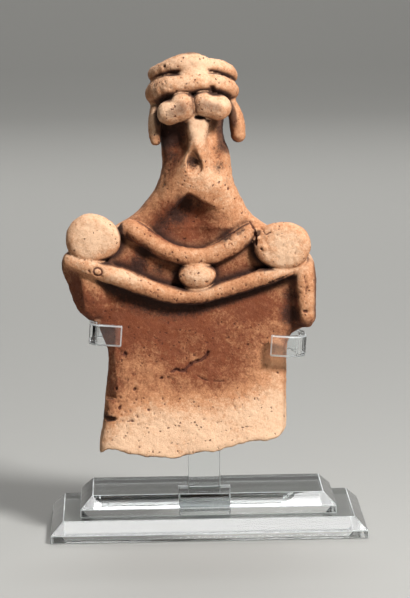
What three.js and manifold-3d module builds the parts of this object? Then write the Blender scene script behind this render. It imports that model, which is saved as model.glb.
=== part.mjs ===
// A hand-modelled clay idol, broken off at the hips and the arms, held up by a clear acrylic stand.
// Sizes are in millimetres. X runs to the viewer's right, Y away from the viewer and Z up, and the
// origin is the middle of the stand's underside. The idol's body is a flat slab of clay. Its
// head-bands, eyes, collars, pendant and shoulder discs are coils and pellets pressed on before
// firing, so that the whole idol is one solid. The stand is two bevelled steps, an upright stem let
// into the upper one, and a cradle bent from a strip and glued across the front of the stem.
import * as THREE from "three";
import { mergeVertices } from "three/addons/utils/BufferGeometryUtils.js";
import Module from "manifold-3d";

const wasm = await Module();
wasm.setup();

// Clearance between pieces that touch
const GAP = 0.3;

// Acrylic stand
const SHEET = 8; // thickness of the sheet that both steps are cut from
const STEP_BEVEL = 5; // run and drop of the bevel round each step's top
const LOWER_STEP = { width: 125, depth: 69 };
const UPPER_STEP = { width: 101.5, depth: 47.5, back: 1 }; // back: how far it sits behind the middle
const STEM = { x: -1.2, y: -4, width: 12.8, thick: 6, top: 88 };
const TENON_WIDTH = 20; // the stem's foot, let into a slot in the upper step
const CRADLE = {
  left: -46, // outside of the bent strip
  right: 39.4,
  leftTip: -33.2, // where its fingers end, in front of the body
  rightTip: 25.1,
  front: -32.2, // front faces of its fingers
  thick: 3,
  height: 8.3,
  middle: 78.8, // height of its middle at x 0
  tilt: THREE.MathUtils.degToRad(4.6), // it runs down to the right
  leftBend: 4.2, // outside radii of its bends
  rightBend: 8.5,
  edge: 0.9, // polished chamfer round its edges
};

// Body of the idol: how far each level reaches left, right, forward and back.
// square is the superellipse power: 2 is a plain ellipse and higher is boxier.
const BACK = -10.6;
const BODY = [
  { z: 33, left: -42.9, right: 31.0, front: -31.9, back: BACK, square: 6 },
  { z: 38, left: -42.4, right: 31.1, front: -31.2, back: BACK, square: 6 },
  { z: 47, left: -40.9, right: 31.2, front: -29.4, back: BACK, square: 6 },
  { z: 56, left: -40.1, right: 31.3, front: -28.0, back: BACK, square: 6 },
  { z: 66, left: -38.7, right: 31.7, front: -27.2, back: BACK, square: 6 },
  { z: 74, left: -38.7, right: 31.8, front: -26.8, back: BACK, square: 6 },
  { z: 79.5, left: -40.4, right: 33.4, front: -26.6, back: BACK, square: 5.5 },
  { z: 83, left: -41.8, right: 37.6, front: -26.4, back: BACK, square: 5 },
  { z: 88, left: -43.0, right: 39.0, front: -26.0, back: BACK, square: 4.5 },
  { z: 95, left: -45.2, right: 38.6, front: -25.8, back: BACK, square: 4.5 },
  { z: 103, left: -48.0, right: 39.5, front: -25.8, back: BACK, square: 4.5 },
  { z: 111, left: -49.0, right: 39.0, front: -26.2, back: BACK, square: 4 },
  { z: 117, left: -45.5, right: 34.0, front: -26.2, back: BACK, square: 3.6 },
  { z: 122, left: -37.5, right: 25.5, front: -26.4, back: BACK, square: 3.2 },
  { z: 127, left: -28.8, right: 18.6, front: -26.8, back: BACK, square: 2.9 },
  { z: 133, left: -22.8, right: 14.5, front: -27.4, back: BACK, square: 2.7 },
  { z: 139, left: -18.5, right: 12.0, front: -27.6, back: BACK, square: 2.5 },
  { z: 146, left: -16.1, right: 10.9, front: -27.2, back: BACK, square: 2.4 },
  { z: 152, left: -16.2, right: 10.2, front: -26.4, back: BACK, square: 2.4 },
  { z: 157, left: -16.6, right: 8.4, front: -25.6, back: BACK, square: 2.4 },
  { z: 165, left: -17.0, right: 8.2, front: -25.2, back: BACK, square: 2.4 },
  { z: 173, left: -18.0, right: 9.6, front: -25.2, back: BACK, square: 2.4 },
];
const BODY_RINGS = 30;
const BODY_SIDES = 32;
// The ragged break under the hips: height of the lower edge along x
const BREAK_EDGE = [
  [-42.6, 34.4],
  [-39.1, 36.1],
  [-34.2, 36.2],
  [-31.2, 34.9],
  [-26.8, 34.1],
  [-21, 33.4],
  [-12.1, 33.1],
  [-6.7, 34.2],
  [-1.3, 35.2],
  [2.6, 35.5],
  [6.8, 36.7],
  [10.5, 37.4],
  [14.7, 38.5],
  [18.4, 39.1],
  [24.2, 39.5],
  [28.4, 40.2],
  [31, 43],
];
const BREAK_FADE = 26; // the edge's rise and fall has died away this far up
const BREAK_BACK_RISE = 1.4; // the break slopes up towards the back

// Stumps of the two arms, as levels like the body's
const LEFT_STUMP = [
  { z: 88.0, left: -46.6, right: -43.6, front: -24.0, back: -15.0, square: 2.4 },
  { z: 90.0, left: -49.4, right: -41.0, front: -26.4, back: -13.0, square: 2.8 },
  { z: 94.0, left: -51.6, right: -39.6, front: -28.0, back: -12.0, square: 3.2 },
  { z: 100.0, left: -53.9, right: -38.6, front: -29.0, back: -11.4, square: 3.4 },
  { z: 106.0, left: -56.0, right: -38.6, front: -29.4, back: -11.2, square: 3.4 },
  { z: 110.0, left: -56.0, right: -39.0, front: -28.8, back: -11.4, square: 3.2 },
  { z: 114.0, left: -53.4, right: -40.0, front: -27.4, back: -12.2, square: 2.8 },
  { z: 117.0, left: -49.0, right: -42.0, front: -25.0, back: -14.0, square: 2.4 },
];
const RIGHT_STUMP = [
  { z: 83.6, left: 38.4, right: 41.4, front: -28.0, back: -17.0, square: 2.4 },
  { z: 85.4, left: 36.8, right: 42.7, front: -30.2, back: -15.0, square: 2.8 },
  { z: 91.0, left: 35.8, right: 43.1, front: -31.2, back: -13.4, square: 3 },
  { z: 98.0, left: 35.0, right: 43.3, front: -31.2, back: -12.4, square: 3 },
  { z: 105.0, left: 34.2, right: 43.2, front: -30.6, back: -12.0, square: 3 },
  { z: 109.0, left: 34.4, right: 42.4, front: -29.4, back: -12.6, square: 2.8 },
  { z: 111.8, left: 36.0, right: 40.6, front: -26.6, back: -15.0, square: 2.4 },
];
const STUMP_RINGS = 11;
const STUMP_SIDES = 14;

// Pinched nose, as levels, and the hollow under it
const NOSE = [
  { z: 131.0, left: -13.0, right: 8.0, front: -27.6, back: -20, square: 1.6 },
  { z: 137.0, left: -15.4, right: 10.4, front: -30.6, back: -20, square: 1.4 },
  { z: 142.0, left: -14.8, right: 9.6, front: -32.8, back: -20, square: 1.4 },
  { z: 147.5, left: -12.6, right: 7.0, front: -33.8, back: -20, square: 1.5 },
  { z: 152.0, left: -9.8, right: 4.4, front: -33.8, back: -20, square: 1.6 },
  { z: 156.5, left: -8.2, right: 3.6, front: -33.4, back: -20, square: 1.7 },
  { z: 160.5, left: -7.4, right: 3.4, front: -32.8, back: -20, square: 1.8 },
  { z: 165.5, left: -7.4, right: 3.2, front: -32.2, back: -20, square: 1.9 },
  { z: 171.0, left: -7.4, right: 3.2, front: -31.6, back: -20, square: 2 },
];
const NOSE_RINGS = 12;
const NOSE_SIDES = 16;
const THROAT_HOLLOW = { at: [-6.4, -35.3, 125.4], half: [15.0, 12.4, 12.4] };
const NOSE_SCAR = { at: [-3.6, -34.4, 149.8], half: [2.7, 3.0, 4.6] }; // where its tip broke away

// Pellets pressed on: centre and half sizes
const HEAD = { at: [-4.2, -18.4, 177], half: [17.2, 11.4, 13.6] };
const PELLETS = [
  { at: [-3.6, -26.6, 184.0], half: [6.4, 4.2, 4.2] }, // smears the two head-bands together
  { at: [-13.1, -30.1, 168.6], half: [4.6, 5.0, 4.8] }, // left eye, outer lobe
  { at: [-7.9, -30.6, 170.9], half: [5.2, 5.2, 5.7] }, // left eye, inner lobe
  { at: [0.2, -30.6, 172.2], half: [4.5, 4.8, 5.1] }, // right eye, inner lobe
  { at: [5.6, -30.0, 170.4], half: [5.3, 5.2, 5.0] }, // right eye, outer lobe
  { at: [-3.4, -28.4, 104.6], half: [7.5, 4.6, 5.6] }, // pendant
  { at: [22.2, -26.6, 119.6], half: [3.2, 3.9, 5.2] }, // lump between collar and right disc
];
const PELLET_SIDES = 14;
const PELLET_ROWS = 9;

// Flat discs on the shoulders: centre, half width and half height
const DISCS = [
  { at: [-43.7, -28.8, 119.8], half: [10.7, 10.0], lean: 0.1 },
  { at: [30.3, -28.8, 115.7], half: [11.3, 9.5], lean: -0.06 },
];
const DISC_THICK = 6.4;
const DISC_ROUND = 2.6; // radius of the rounded rim
const DISC_SIDES = 20;

// Rolled coils: points on the middle line and the radius there
const COILS = {
  collar: [
    [-31.2, -25.6, 122.6, 2.9],
    [-29.4, -25.6, 123.4, 3.6],
    [-26.2, -26.2, 121.6, 4.0],
    [-21.0, -27.0, 118.2, 3.8],
    [-14.4, -27.6, 114.4, 3.6],
    [-7.6, -28.0, 112.2, 3.5],
    [-1.8, -28.0, 111.8, 3.5],
    [4.4, -27.8, 113.2, 3.7],
    [10.4, -27.6, 116.3, 3.9],
    [15.2, -27.1, 119.4, 3.8],
    [18.8, -26.8, 121.6, 3.5],
  ],
  lowerCollar: [
    [-52.0, -27.4, 111.0, 3.6],
    [-45.8, -28.4, 109.0, 4.0],
    [-37.6, -28.4, 105.9, 4.1],
    [-29.0, -28.2, 102.6, 3.9],
    [-20.4, -28.2, 99.2, 3.5],
    [-12.0, -28.2, 97.0, 3.4],
    [-4.0, -28.2, 96.6, 3.4],
    [5.0, -28.2, 98.2, 3.3],
    [15.0, -28.2, 100.9, 3.3],
    [23.4, -28.2, 103.4, 3.4],
    [30.4, -28.4, 105.2, 2.8],
    [35.8, -28.6, 106.6, 1.6],
  ],
  browBand: [
    [-14.6, -11.6, 175.2, 3.2],
    [-17.2, -17.6, 174.9, 4.9],
    [-16.0, -23.2, 176.9, 4.8],
    [-12.0, -27.0, 178.8, 4.5],
    [-4.0, -29.0, 180.0, 4.0],
    [1.7, -28.8, 180.2, 3.8],
    [6.0, -27.2, 179.2, 3.7],
    [9.6, -23.4, 177.2, 3.8],
    [10.4, -17.6, 175.6, 3.8],
    [7.4, -11.6, 175.8, 2.8],
  ],
  crownBandLeft: [
    [-13.6, -11.8, 182.6, 2.2],
    [-18.0, -18.0, 182.6, 3.0],
    [-15.4, -22.8, 184.8, 3.0],
    [-12.0, -25.2, 186.3, 3.1],
    [-8.0, -26.6, 187.6, 3.6],
    [-3.6, -26.8, 188.3, 3.7],
    [0.0, -26.0, 187.3, 3.2],
  ],
  crownBandRight: [
    [0.8, -25.8, 186.2, 3.0],
    [5.0, -25.0, 185.8, 3.1],
    [9.0, -21.8, 184.1, 3.0],
    [11.0, -16.5, 181.7, 2.9],
    [7.2, -12.0, 181.6, 2.2],
  ],
  leftEar: [
    [-17.8, -20.0, 170.6, 2.6],
    [-18.6, -22.2, 165.0, 2.7],
    [-18.8, -23.4, 159.8, 2.5],
    [-18.6, -23.8, 157.4, 2.1],
  ],
  rightEar: [
    [10.4, -19.0, 172.0, 2.6],
    [12.6, -20.0, 167.0, 2.8],
    [13.6, -20.8, 162.0, 3.0],
    [13.8, -21.2, 158.8, 2.8],
  ],
};
const COIL_SIDES = 10;
const COIL_STEP = 3.6; // length of coil between two rings
const COIL_TIP_RINGS = 2;

const TURN = Math.PI * 2;

// A closed surface over a stack of rings of points, with a fan over each end
function skin(rings) {
  const sides = rings[0].length;
  const middle = (ring) =>
    ring.reduce((sum, p) => sum.add(p), new THREE.Vector3()).divideScalar(sides);
  const points = [...rings.flat(), middle(rings[0]), middle(rings.at(-1))];
  const faces = [];
  const last = rings.length - 1;
  const firstTip = rings.length * sides;
  for (let side = 0; side < sides; side++) {
    const next = (side + 1) % sides;
    for (let level = 0; level < last; level++) {
      const a = level * sides + side;
      const b = level * sides + next;
      faces.push(a, b, b + sides, a, b + sides, a + sides);
    }
    faces.push(firstTip, next, side);
    faces.push(firstTip + 1, last * sides + side, last * sides + next);
  }
  return new THREE.BufferGeometry().setFromPoints(points).setIndex(faces);
}

// three.js geometry as a solid for joining and cutting
function solid(geometry) {
  const bare = geometry.clone();
  bare.deleteAttribute("normal");
  bare.deleteAttribute("uv");
  const merged = mergeVertices(bare, 1e-4);
  return new wasm.Manifold(
    new wasm.Mesh({
      numProp: 3,
      vertProperties: merged.attributes.position.array,
      triVerts: new Uint32Array(merged.index.array),
    }),
  );
}

function geometryOf(manifold) {
  const { numProp, vertProperties, triVerts } = manifold.getMesh();
  const position = new THREE.BufferAttribute(vertProperties, numProp);
  const geometry = new THREE.BufferGeometry().setAttribute("position", position);
  geometry.setIndex(new THREE.BufferAttribute(triVerts, 1));
  geometry.computeVertexNormals();
  return geometry;
}

// A smooth curve through the given [place, value, value, ...] rows
function curveThrough(rows) {
  const places = rows.map((row) => row[0]);
  const values = rows.flatMap((row) => row.slice(1));
  const curve = new THREE.CubicInterpolant(places, values, rows[0].length - 1);
  return (place) => Array.from(curve.evaluate(place));
}

function superellipse(middleX, middleY, halfX, halfY, square, sides) {
  const reach = (value) => Math.sign(value) * Math.abs(value) ** (2 / square);
  return Array.from({ length: sides }, (_, side) => {
    const angle = (side / sides) * TURN;
    const x = middleX + halfX * reach(Math.cos(angle));
    return [x, middleY + halfY * reach(Math.sin(angle))];
  });
}

// A form built up from levels; bend may move each point
function levelled(levels, ringCount, sides, bend = (x, y, z) => z) {
  const at = curveThrough(
    levels.map(({ z, left, right, front, back, square }) => [
      z, left, right, front, back, square,
    ]),
  );
  const bottom = levels[0].z;
  const height = levels.at(-1).z - bottom;
  const rings = [];
  for (let ring = 0; ring <= ringCount; ring++) {
    const z = bottom + (height * ring) / ringCount;
    const [left, right, front, back, square] = at(z);
    const outline = superellipse(
      (left + right) / 2,
      (front + back) / 2,
      (right - left) / 2,
      (back - front) / 2,
      square,
      sides,
    );
    rings.push(outline.map(([x, y]) => new THREE.Vector3(x, y, bend(x, y, z))));
  }
  return solid(skin(rings));
}

function body() {
  const edge = curveThrough(BREAK_EDGE);
  const bottom = BODY[0].z;
  const thick = BACK - BODY[0].front;
  return levelled(BODY, BODY_RINGS, BODY_SIDES, (x, y, z) => {
    const fade = Math.max(0, 1 - (z - bottom) / BREAK_FADE) ** 2;
    const reachX = THREE.MathUtils.clamp(x, BREAK_EDGE[0][0], BREAK_EDGE.at(-1)[0]);
    const back = (y - BODY[0].front) / thick;
    return z + fade * (edge(reachX)[0] - bottom + BREAK_BACK_RISE * back);
  });
}

// A coil rolled between the hands, with rounded ends
function coil(rows) {
  const path = new THREE.CatmullRomCurve3(
    rows.map(([x, y, z]) => new THREE.Vector3(x, y, z)),
  );
  const steps = Math.max(3, Math.round(path.getLength() / COIL_STEP));
  const { tangents, normals, binormals } = path.computeFrenetFrames(steps);
  const radiusAt = curveThrough(rows.map((row, i) => [i / (rows.length - 1), row[3]]));
  const ringAt = (step, radius, along) => {
    const centre = path.getPointAt(step / steps).addScaledVector(tangents[step], along);
    return Array.from({ length: COIL_SIDES }, (_, side) => {
      const angle = (side / COIL_SIDES) * TURN;
      return centre
        .clone()
        .addScaledVector(normals[step], radius * Math.cos(angle))
        .addScaledVector(binormals[step], radius * Math.sin(angle));
    });
  };
  const rings = [];
  for (let step = 0; step <= steps; step++) {
    const radius = radiusAt(path.getUtoTmapping(step / steps))[0];
    const tip = Array.from({ length: COIL_TIP_RINGS }, (_, k) => {
      const angle = ((k + 0.4) / COIL_TIP_RINGS) * (TURN / 4);
      return [radius * Math.sin(angle), radius * Math.cos(angle) * 0.8];
    });
    if (step === 0) tip.forEach(([r, out]) => rings.push(ringAt(0, r, -out)));
    rings.push(ringAt(step, radius, 0));
    if (step === steps) tip.reverse().forEach(([r, out]) => rings.push(ringAt(step, r, out)));
  }
  return solid(skin(rings));
}

function pellet({ at, half }) {
  const ball = new THREE.SphereGeometry(1, PELLET_SIDES, PELLET_ROWS);
  return solid(ball.scale(...half).translate(...at));
}

function disc({ at, half, lean }) {
  const profile = new THREE.Path();
  const rim = 1 - DISC_ROUND / half[0];
  const deep = DISC_THICK / 2;
  profile.moveTo(0, -deep);
  profile.lineTo(rim, -deep);
  profile.quadraticCurveTo(1, -deep, 1, 0);
  profile.quadraticCurveTo(1, deep, rim, deep);
  profile.lineTo(0, deep);
  const round = new THREE.LatheGeometry(profile.getPoints(3), DISC_SIDES);
  return solid(round.scale(half[0], 1, half[1]).rotateX(lean).translate(...at));
}

function figurine() {
  const added = [
    levelled(LEFT_STUMP, STUMP_RINGS, STUMP_SIDES),
    levelled(RIGHT_STUMP, STUMP_RINGS, STUMP_SIDES),
    pellet(HEAD),
    ...PELLETS.map(pellet),
    ...DISCS.map(disc),
    ...Object.values(COILS).map(coil),
  ];
  const face = body()
    .add(levelled(NOSE, NOSE_RINGS, NOSE_SIDES))
    .subtract(pellet(THROAT_HOLLOW))
    .subtract(pellet(NOSE_SCAR));
  return added.reduce((whole, piece) => whole.add(piece), face);
}

// A sheet with square sides below and a bevel round its top
function bevelledStep({ width, depth, back = 0 }, bottom) {
  const rectangle = (inset, z) => {
    const halfX = width / 2 - inset;
    const halfY = depth / 2 - inset;
    const corners = [[-1, -1], [1, -1], [1, 1], [-1, 1]];
    return corners.map(([x, y]) => new THREE.Vector3(x * halfX, back + y * halfY, z));
  };
  const levels = [
    rectangle(0, bottom),
    rectangle(0, bottom + SHEET - STEP_BEVEL),
    rectangle(STEP_BEVEL, bottom + SHEET),
  ];
  return solid(skin(levels));
}

function block(width, depth, bottom, top) {
  const box = new THREE.BoxGeometry(width, depth, top - bottom);
  return solid(box.translate(STEM.x, STEM.y, (top + bottom) / 2));
}

function upperStep() {
  const slot = block(TENON_WIDTH + 2 * GAP, STEM.thick + 2 * GAP, 0, 3 * SHEET);
  return bevelledStep(UPPER_STEP, SHEET).subtract(slot);
}

// An upright strip whose wider foot fills the slot in the upper step
function stem() {
  const strip = block(STEM.width, STEM.thick, SHEET + GAP, STEM.top);
  return strip.add(block(TENON_WIDTH, STEM.thick, SHEET + GAP, 2 * SHEET));
}

// A strip bent twice at each side, so that its fingers lap round the front of the body
function cradle() {
  const { left, right, leftTip, rightTip, front, thick, height, leftBend, rightBend, edge } = CRADLE;
  const behind = STEM.y - STEM.thick / 2 - GAP;
  const plan = new THREE.Shape();
  plan.moveTo(leftTip - edge, front);
  plan.lineTo(left + leftBend, front);
  plan.absarc(left + leftBend, front + leftBend, leftBend, -TURN / 4, -TURN / 2, true);
  plan.lineTo(left, behind - leftBend);
  plan.absarc(left + leftBend, behind - leftBend, leftBend, TURN / 2, TURN / 4, true);
  plan.lineTo(right - rightBend, behind);
  plan.absarc(right - rightBend, behind - rightBend, rightBend, TURN / 4, 0, true);
  plan.lineTo(right, front + rightBend);
  plan.absarc(right - rightBend, front + rightBend, rightBend, 0, -TURN / 4, true);
  plan.lineTo(rightTip + edge, front);
  plan.lineTo(rightTip, front + edge);
  plan.lineTo(rightTip, front + thick);
  plan.lineTo(right - rightBend, front + thick);
  plan.absarc(right - rightBend, front + rightBend, rightBend - thick, -TURN / 4, 0, false);
  plan.lineTo(right - thick, behind - rightBend);
  plan.absarc(right - rightBend, behind - rightBend, rightBend - thick, 0, TURN / 4, false);
  plan.lineTo(left + leftBend, behind - thick);
  plan.absarc(left + leftBend, behind - leftBend, leftBend - thick, TURN / 4, TURN / 2, false);
  plan.lineTo(left + thick, front + leftBend);
  plan.absarc(left + leftBend, front + leftBend, leftBend - thick, TURN / 2, TURN * 0.75, false);
  plan.lineTo(leftTip, front + thick);
  plan.lineTo(leftTip, front + edge);
  plan.closePath();
  const strip = new THREE.ExtrudeGeometry(plan, {
    depth: height - 2 * edge,
    bevelThickness: edge,
    bevelSize: edge,
    bevelOffset: -edge,
    bevelSegments: 1,
    curveSegments: 4,
  });
  return solid(strip.translate(0, 0, edge - height / 2));
}

const TERRACOTTA = { color: 0xc98d63, roughness: 0.88, metalness: 0 };
const ACRYLIC = {
  color: 0xeef4f5,
  roughness: 0.05,
  metalness: 0,
  transparent: true,
  opacity: 0.35,
};

function piece(name, manifold, finish) {
  const mesh = new THREE.Mesh(geometryOf(manifold), new THREE.MeshStandardMaterial(finish));
  mesh.name = name;
  return mesh;
}

const idolOnStand = new THREE.Group();
idolOnStand.add(piece("figurine", figurine(), TERRACOTTA));
idolOnStand.add(piece("acrylic_lower_step", bevelledStep(LOWER_STEP, 0), ACRYLIC));
idolOnStand.add(piece("acrylic_upper_step", upperStep(), ACRYLIC));
idolOnStand.add(piece("acrylic_stem", stem(), ACRYLIC));
const heldCradle = piece("acrylic_cradle", cradle(), ACRYLIC);
heldCradle.position.z = CRADLE.middle;
heldCradle.rotation.y = CRADLE.tilt;
idolOnStand.add(heldCradle);

export default idolOnStand;
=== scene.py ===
import math
import random

import bpy
import numpy as np
import openvdb
from mathutils import Matrix, Vector, kdtree, noise


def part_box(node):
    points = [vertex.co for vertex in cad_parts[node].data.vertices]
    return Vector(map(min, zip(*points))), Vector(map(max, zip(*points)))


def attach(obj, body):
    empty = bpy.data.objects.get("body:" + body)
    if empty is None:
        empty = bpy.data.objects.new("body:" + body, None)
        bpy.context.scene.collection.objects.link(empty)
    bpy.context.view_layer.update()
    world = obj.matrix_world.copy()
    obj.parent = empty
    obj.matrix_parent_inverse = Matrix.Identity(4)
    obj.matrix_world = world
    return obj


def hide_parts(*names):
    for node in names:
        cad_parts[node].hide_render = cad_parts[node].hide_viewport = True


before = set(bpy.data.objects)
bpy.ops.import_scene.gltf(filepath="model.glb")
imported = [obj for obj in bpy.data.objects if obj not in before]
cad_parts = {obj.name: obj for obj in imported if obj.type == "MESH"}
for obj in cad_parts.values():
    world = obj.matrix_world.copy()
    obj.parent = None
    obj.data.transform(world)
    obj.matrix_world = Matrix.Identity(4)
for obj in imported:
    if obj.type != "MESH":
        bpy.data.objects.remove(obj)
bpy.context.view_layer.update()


# The idol: one piece of coarse red clay, shaped by hand into a flat slab with a pinched neck and nose.
# The coils, pellets and discs were rolled, pressed on and fired with it. It is broken off at the hips
# and at both arms, and its skin is pitted. It stands loose in the cradle.
MM = 0.001
BACK = -10.6

# The slab, the arm stumps and the nose, level by level: height, reach to the left, right, front and
# back, and how square the level is (2 is a plain ellipse, and higher is boxier)
BODY = np.array([
    (30, -43.2, 31.0, -32.4, BACK, 6.0),
    (38, -42.4, 31.1, -31.2, BACK, 6.0),
    (47, -40.9, 31.2, -29.4, BACK, 6.0),
    (56, -40.1, 31.3, -28.0, BACK, 6.0),
    (66, -38.7, 31.7, -27.2, BACK, 6.0),
    (74, -38.7, 31.8, -26.8, BACK, 6.0),
    (79.5, -40.4, 33.4, -26.6, BACK, 5.5),
    (83, -41.8, 37.6, -26.4, BACK, 5.0),
    (88, -43.0, 39.0, -26.0, BACK, 4.5),
    (95, -45.2, 38.6, -25.8, BACK, 4.5),
    (103, -48.0, 39.5, -25.8, BACK, 4.5),
    (111, -49.0, 39.0, -26.2, BACK, 4.0),
    (117, -45.5, 34.0, -26.2, BACK, 3.6),
    (122, -37.5, 25.5, -26.4, BACK, 3.2),
    (127, -28.8, 18.6, -26.8, BACK, 2.9),
    (133, -22.8, 14.5, -27.4, BACK, 2.7),
    (139, -18.5, 12.0, -27.6, BACK, 2.5),
    (146, -16.1, 10.9, -27.2, BACK, 2.4),
    (152, -16.2, 10.2, -26.4, BACK, 2.4),
    (157, -16.6, 8.4, -25.6, BACK, 2.4),
    (165, -17.0, 8.2, -25.2, BACK, 2.4),
    (173, -18.0, 9.6, -25.2, BACK, 2.4),
])
LEFT_STUMP = np.array([
    (87.4, -46.6, -43.0, -24.0, -15.0, 2.4),
    (90.0, -49.4, -41.0, -26.4, -13.0, 2.8),
    (94.0, -51.6, -39.6, -28.0, -12.0, 3.2),
    (100.0, -53.9, -38.6, -29.0, -11.4, 3.4),
    (106.0, -56.0, -38.6, -29.4, -11.2, 3.4),
    (110.0, -56.0, -39.0, -28.8, -11.4, 3.2),
    (114.0, -53.4, -40.0, -27.4, -12.2, 2.8),
    (117.0, -49.0, -42.0, -25.0, -14.0, 2.4),
])
RIGHT_STUMP = np.array([
    (83.4, 38.6, 41.2, -28.0, -17.0, 2.4),
    (85.4, 36.8, 42.7, -30.2, -15.0, 2.8),
    (91.0, 35.8, 43.1, -31.2, -13.4, 3.0),
    (98.0, 35.0, 43.3, -31.2, -12.4, 3.0),
    (105.0, 34.2, 43.2, -30.6, -12.0, 3.0),
    (109.0, 34.4, 42.4, -29.4, -12.6, 2.8),
    (111.8, 36.0, 40.6, -26.6, -15.0, 2.4),
])
NOSE = np.array([
    (126.0, -13.6, 10.4, -24.6, -18.0, 2.0),
    (130.0, -14.4, 11.2, -26.6, -18.0, 2.0),
    (134.5, -14.6, 11.0, -28.6, -18.0, 2.0),
    (138.0, -14.0, 9.6, -30.4, -18.0, 2.0),
    (141.0, -13.6, 7.6, -31.4, -18.0, 2.0),
    (144.0, -12.6, 5.4, -32.2, -18.0, 2.0),
    (147.0, -11.4, 3.6, -32.8, -18.0, 2.1),
    (150.0, -9.6, 2.6, -33.0, -18.0, 2.2),
    (153.0, -7.6, 1.9, -32.9, -18.0, 2.3),
    (155.7, -6.2, 1.3, -32.6, -18.0, 2.5),
    (158.7, -6.1, 1.4, -32.2, -18.0, 2.6),
    (162.5, -7.0, 2.2, -31.9, -18.0, 3.0),
    (166.0, -7.8, 3.2, -31.7, -18.0, 3.2),
    (172.0, -7.8, 3.2, -31.6, -18.0, 3.2),
])

# Rolled coils: places along the middle (x, y, z), and the radius there
COLLAR = np.array([
    (-31.2, -25.6, 122.6, 2.9), (-29.4, -25.6, 123.4, 3.6), (-26.2, -26.2, 121.6, 4.0),
    (-21.0, -27.0, 118.2, 3.8), (-14.4, -27.6, 114.4, 3.6), (-7.6, -28.0, 112.2, 3.5),
    (-1.8, -28.0, 111.8, 3.5), (4.4, -27.8, 113.2, 3.7), (10.4, -27.6, 116.3, 3.9),
    (15.2, -27.1, 119.4, 3.8), (18.8, -26.8, 121.6, 3.5),
])
LOWER_COLLAR = np.array([
    (-52.0, -27.4, 111.0, 3.6), (-45.8, -28.4, 109.0, 4.0), (-37.6, -28.4, 105.9, 4.1),
    (-29.0, -28.2, 102.6, 3.9), (-20.4, -28.2, 99.2, 3.5), (-12.0, -28.2, 97.0, 3.4),
    (-4.0, -28.2, 96.6, 3.4), (5.0, -28.2, 98.2, 3.3), (15.0, -28.2, 100.9, 3.3),
    (23.4, -28.2, 103.4, 3.4), (30.4, -28.4, 105.2, 2.8), (35.8, -28.6, 106.6, 1.6),
])
BROW_BAND = np.array([
    (-14.6, -11.6, 175.2, 3.2), (-17.2, -17.6, 174.9, 4.9), (-16.0, -23.2, 176.9, 4.8),
    (-12.0, -27.0, 178.8, 4.5), (-4.0, -29.0, 180.0, 4.0), (1.7, -28.8, 180.2, 3.8),
    (6.0, -27.2, 179.2, 3.7), (9.6, -23.4, 177.2, 3.8), (10.4, -17.6, 175.6, 3.8),
    (7.4, -11.6, 175.8, 2.8),
])
CROWN_LEFT = np.array([
    (-13.6, -11.8, 182.6, 2.2), (-18.0, -18.0, 182.6, 3.0), (-15.4, -22.8, 184.8, 3.0),
    (-12.0, -25.2, 186.3, 3.1), (-8.0, -26.6, 187.5, 3.6), (-3.6, -26.8, 188.0, 3.7),
    (0.0, -26.0, 187.2, 3.2),
])
CROWN_RIGHT = np.array([
    (0.8, -25.8, 186.2, 3.0), (5.0, -25.0, 185.8, 3.1), (9.0, -21.8, 184.1, 3.0),
    (11.0, -16.5, 181.7, 2.9), (7.2, -12.0, 181.6, 2.2),
])
LEFT_EAR = np.array([
    (-17.8, -20.0, 170.6, 2.6), (-18.6, -22.2, 165.0, 2.7), (-18.8, -23.4, 159.8, 2.5),
    (-18.6, -23.8, 157.4, 2.1),
])
RIGHT_EAR = np.array([
    (10.4, -19.0, 172.0, 2.6), (12.6, -20.0, 167.0, 2.8), (13.6, -20.8, 162.0, 3.0),
    (13.8, -21.2, 158.8, 2.8),
])

# Pellets, and a chip in the left edge: middle and half sizes, then how wide the joint is smeared
SKULL = ((-4.2, -18.4, 177), (16.4, 10.6, 12.8), 3.0)
CROWN_PAD = ((-3.4, -27.0, 184.2), (5.6, 3.8, 3.6), 1.4)
SHOULDER_PAD = ((22.2, -26.6, 119.6), (3.0, 3.8, 5.0), 0.7)
PENDANT = ((-3.4, -28.4, 104.6), (7.5, 4.5, 5.6), 0.9)
EDGE_CHIP = ((-40.4, -30.2, 48.2), (5.4, 4.6, 1.3), 0.4)
EYES = (  # each eye's two lobes, then the middle of the nick between their tops
    (((-13.1, -29.8, 168.6), (4.6, 4.8, 4.8)), ((-7.9, -30.1, 171.0), (5.2, 4.9, 5.9)),
     (-13.0, -33.6, 174.6)),
    (((0.2, -30.1, 172.2), (4.5, 4.7, 5.1)), ((5.6, -29.8, 170.5), (5.3, 4.8, 5.1)),
     (3.7, -33.6, 177.4)),
)
EYE_NICK = (1.0, 4.0, 1.5)
EYE_GAPS = ((-1.0, -32.6, 167.0), (3.4, -32.6, 165.8))  # under the right eye, where it left the nose
EYE_GAP = (2.7, 3.2, 0.9)
CRUMBS = (  # between the collar's right end and the right disc: place and size
    ((23.0, -31.4, 115.6), 1.3), ((20.8, -30.8, 119.2), 0.9), ((22.0, -31.0, 117.6), 0.8),
    ((19.8, -30.4, 122.0), 1.0), ((23.6, -31.2, 119.8), 0.8),
)

# Discs: middle, half width and half height, and which way the rim is uneven
LEFT_DISC = ((-43.7, -28.8, 119.8), (10.7, 10.0), 0.4)
RIGHT_DISC = ((30.3, -28.8, 115.7), (11.5, 9.7), 1.9)
DISC_THICK = 6.4
DISC_ROOM = (12, 4, 11)  # half of a box that holds either disc

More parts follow.
